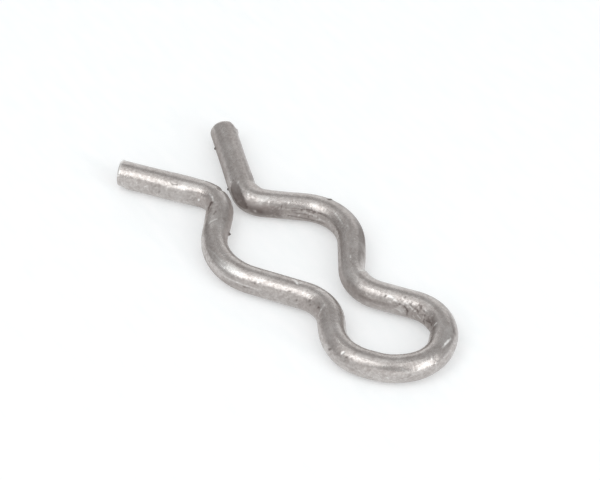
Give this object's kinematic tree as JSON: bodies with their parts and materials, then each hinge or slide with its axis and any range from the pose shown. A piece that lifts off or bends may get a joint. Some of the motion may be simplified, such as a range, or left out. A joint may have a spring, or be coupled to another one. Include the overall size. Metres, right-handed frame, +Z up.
{
  "type": "wire spring clip",
  "caption": "Spring clip bent from one round steel wire: round closed head, narrow throat, wide gripping belly, close pinch and flared straight tails.",
  "frame": {"origin": "under the middle of the clip's length and width, on the surface that it lies on", "axes": "+X along the clip from the flared tails to the round head, +Y to the left leg, +Z up out of the plane that the wire is bent in"},
  "size_m": [0.0444, 0.0172, 0.003],
  "materials": {
    "spring_wire": "drawn wire, dull sheen, handling scratches"
  },
  "bodies": {
    "root": {"spring_clip": "spring_wire"}
  },
  "joints": []
}
